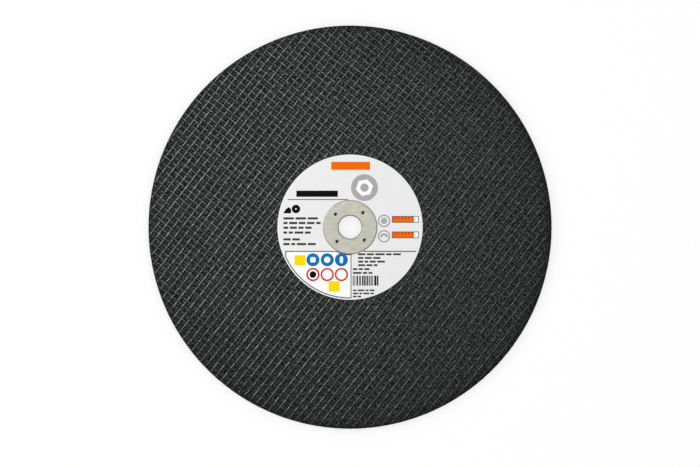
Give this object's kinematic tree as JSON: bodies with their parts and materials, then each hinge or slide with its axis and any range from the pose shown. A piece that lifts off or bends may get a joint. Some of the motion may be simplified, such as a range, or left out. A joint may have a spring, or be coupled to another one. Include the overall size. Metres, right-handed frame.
{
  "type": "cut off wheel",
  "caption": "Flat round abrasive wheel for a chop saw, with a glass-fibre net moulded into both faces, a round paper label and a pressed steel ring that lines the arbor bore.",
  "frame": {"origin": "centre of the bore, in the plane that the back of the wheel lies on", "axes": "+Z along the bore, from the back of the wheel to the label; +X to the right and +Y up as the label is read"},
  "size_m": [0.35, 0.35, 0.005],
  "materials": {
    "abrasive": "rough resin-bonded grit with the weave of a glass-fibre net",
    "label_paper": "smooth matt paper",
    "ring_steel": "dull tinned sheet steel"
  },
  "bodies": {
    "root": {"abrasive_disc": "abrasive", "paper_label": "label_paper", "arbor_ring": "ring_steel"}
  },
  "joints": []
}
